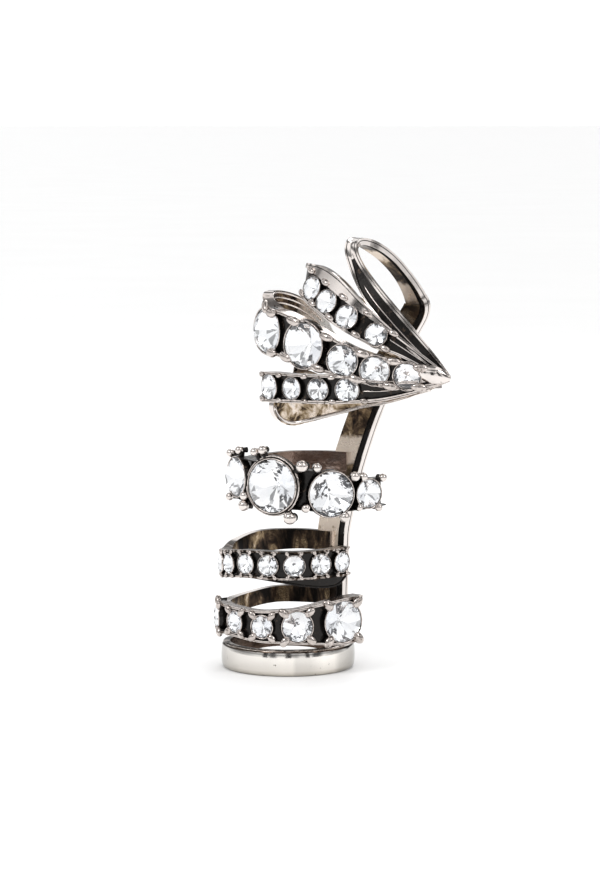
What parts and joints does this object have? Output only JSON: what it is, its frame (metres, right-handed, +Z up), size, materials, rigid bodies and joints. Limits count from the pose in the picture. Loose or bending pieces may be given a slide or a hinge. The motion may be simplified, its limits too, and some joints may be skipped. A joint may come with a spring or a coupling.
{
  "type": "ear cuff",
  "caption": "Tall ear cuff of stone-set silver bands and a pointed claw-shaped head on one curved spine, with a plain ring at its base and a loop at its top.",
  "frame": {"origin": "middle of the bounding box on the floor that the plain ring stands on", "axes": "+Z up along the cuff's length, +Y from the set front towards the spine at the back, +X towards the pointed tip"},
  "size_m": [0.0344, 0.024, 0.0633],
  "materials": {
    "silver": "polished antique silver plate, blackened in the recesses and tarnished brown on the inner faces",
    "crystal": "clear, faceted, foil-backed"
  },
  "bodies": {
    "root": {"band_1_stone_1": "crystal", "band_1_stone_2": "crystal", "band_1_stone_3": "crystal", "band_1_stone_4": "crystal", "band_2_stone_1": "crystal", "band_2_stone_2": "crystal", "band_2_stone_3": "crystal", "band_2_stone_4": "crystal", "band_2_stone_5": "crystal", "band_2_stone_6": "crystal", "band_2_stone_7": "crystal", "band_3_stone_1": "crystal", "band_3_stone_2": "crystal", "band_3_stone_3": "crystal", "band_3_stone_4": "crystal", "band_3_stone_5": "crystal", "cuff_frame": "silver", "row_a_stone_1": "crystal", "row_a_stone_2": "crystal", "row_a_stone_3": "crystal", "row_a_stone_4": "crystal", "row_b_stone_1": "crystal", "row_b_stone_2": "crystal", "row_b_stone_3": "crystal", "row_b_stone_4": "crystal", "row_b_stone_5": "crystal", "row_c_stone_1": "crystal", "row_c_stone_2": "crystal", "row_c_stone_3": "crystal", "row_c_stone_4": "crystal"}
  },
  "joints": []
}
